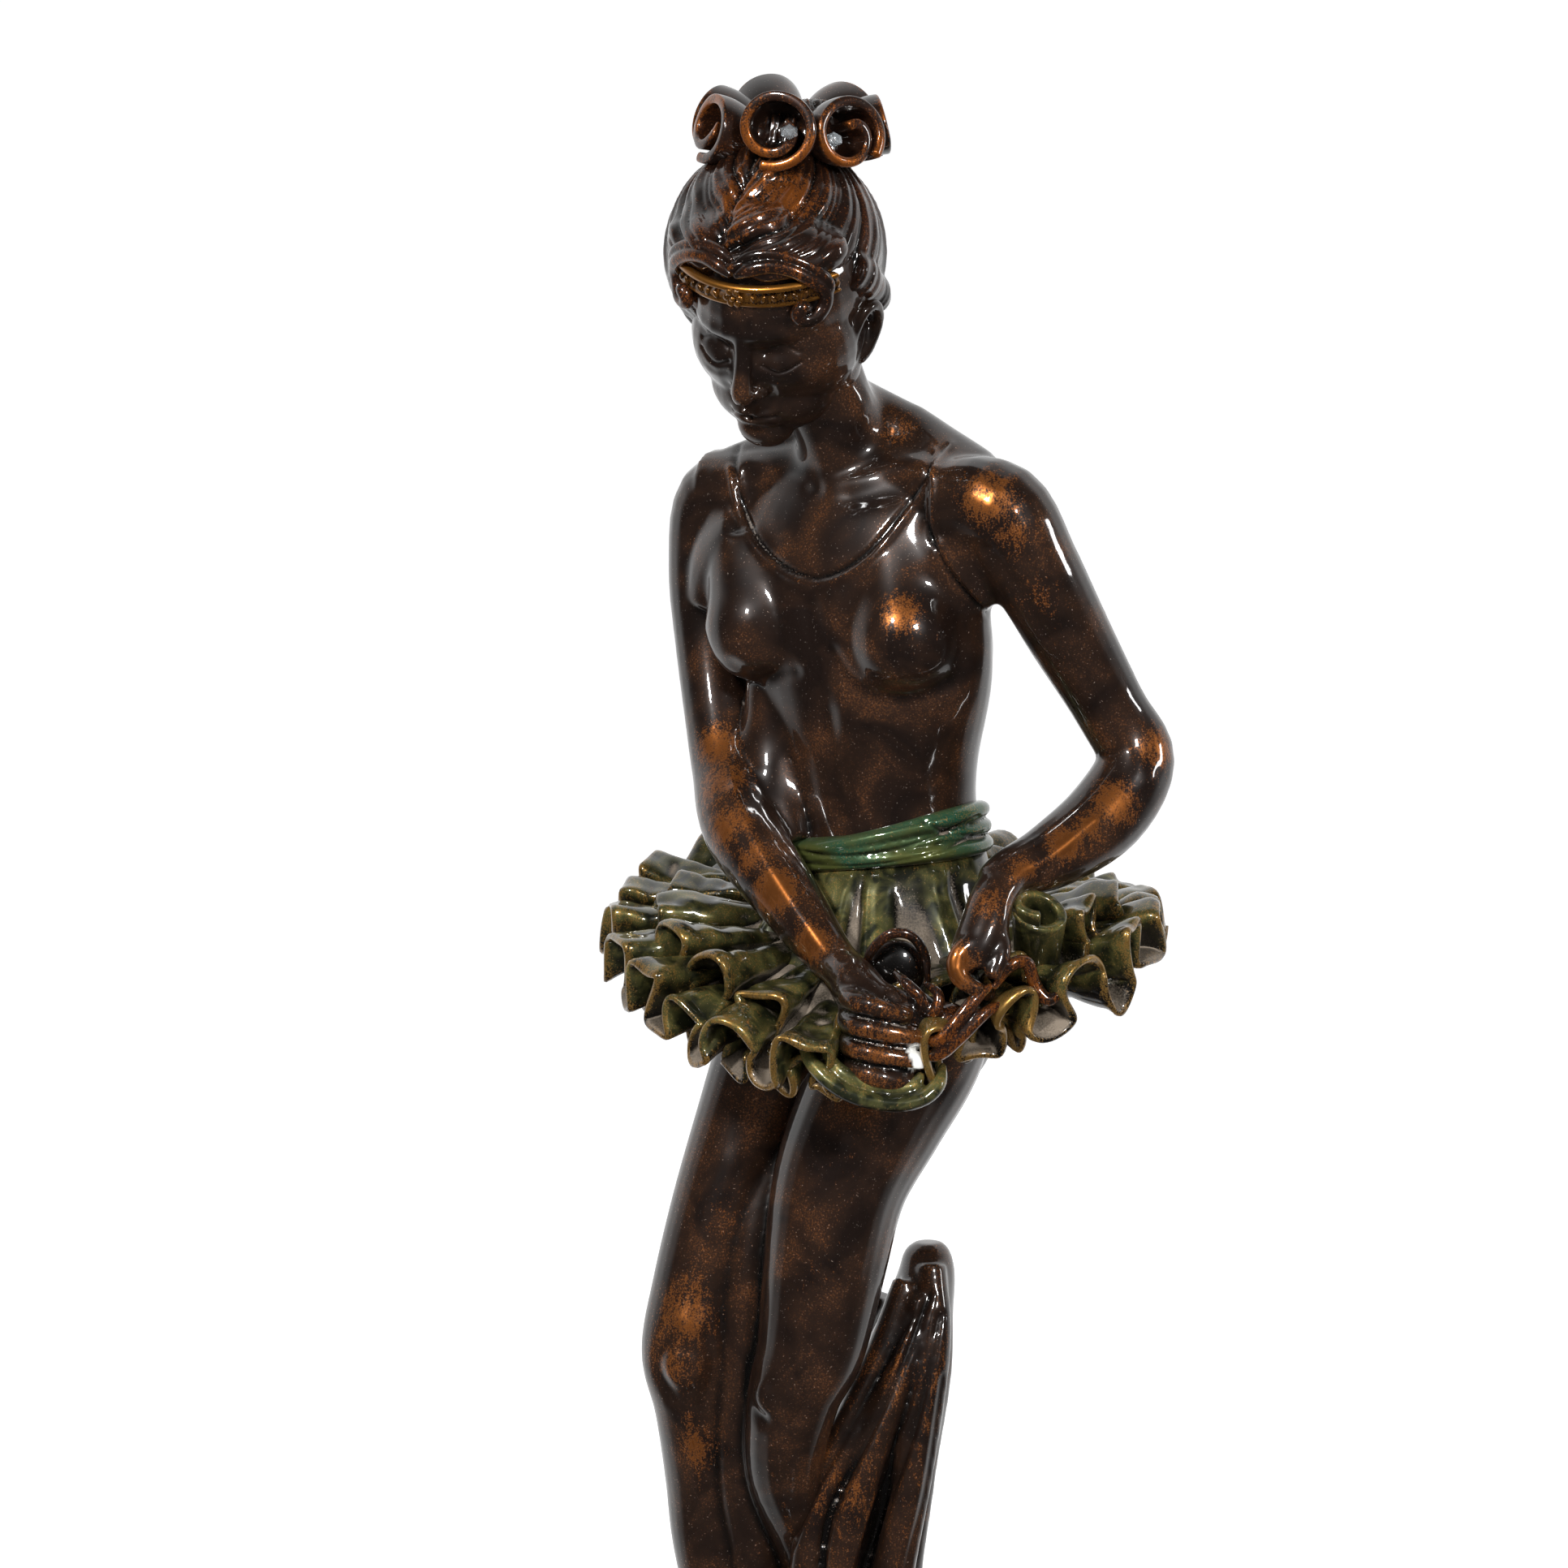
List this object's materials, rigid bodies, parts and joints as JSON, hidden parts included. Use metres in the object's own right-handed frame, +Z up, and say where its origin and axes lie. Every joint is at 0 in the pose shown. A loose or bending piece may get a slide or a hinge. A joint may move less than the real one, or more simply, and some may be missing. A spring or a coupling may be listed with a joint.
{
  "type": "bronze statuette",
  "caption": "Dark bronze-finished ballet dancer with upswept curled hair, holding the edge of a ruffled green and gold tutu, beside a draped support on a turned marble plinth.",
  "frame": {"origin": "centre of the underside, on the felt pad's lower face", "axes": "+Z up; -Y is the side the figure is seen from, +X to that viewer's right"},
  "size_m": [0.124, 0.124, 0.3832],
  "materials": {
    "dark_bronze": "cast body with a glossy brown-black bronze finish, rubbed copper on the high spots",
    "rubbed_copper": "glossy bronze finish rubbed through to copper gold",
    "green_gold_patina": "glossy green and gold patina with grey dust in the folds and copper edges",
    "black_marble": "polished black with pale veins",
    "plated_steel": "zinc plated",
    "green_felt": "pressed felt",
    "clear_crystal": "clear cut stone"
  },
  "bodies": {
    "root": {"head": "dark_bronze", "hair_shell": "dark_bronze", "torso": "dark_bronze", "left_arm": "dark_bronze", "right_arm": "dark_bronze", "left_hand": "dark_bronze", "right_hand": "dark_bronze", "standing_leg": "dark_bronze", "left_leg": "dark_bronze", "draped_support": "dark_bronze", "ground_plate": "dark_bronze", "headband": "rubbed_copper", "topknot_curl_1": "rubbed_copper", "topknot_curl_2": "rubbed_copper", "topknot_curl_3": "rubbed_copper", "topknot_curl_4": "rubbed_copper", "topknot_curl_5": "rubbed_copper", "topknot_curl_6": "rubbed_copper", "topknot_curl_7": "rubbed_copper", "waist_sash": "green_gold_patina", "skirt_yoke": "green_gold_patina", "tutu_upper_ruffle": "green_gold_patina", "tutu_middle_ruffle": "green_gold_patina", "tutu_lower_ruffle": "green_gold_patina", "marble_plinth": "black_marble", "neck_dowel": "plated_steel", "left_shoulder_dowel": "plated_steel", "right_shoulder_dowel": "plated_steel", "left_wrist_dowel": "plated_steel", "right_wrist_dowel": "plated_steel", "waist_dowel": "plated_steel", "hip_dowel": "plated_steel", "left_hip_dowel": "plated_steel", "leg_stud": "plated_steel", "leg_washer": "plated_steel", "leg_nut": "plated_steel", "support_stud": "plated_steel", "support_washer": "plated_steel", "support_nut": "plated_steel", "felt_pad": "green_felt", "hair_crystal_1": "clear_crystal", "hair_crystal_2": "clear_crystal"}
  },
  "joints": []
}
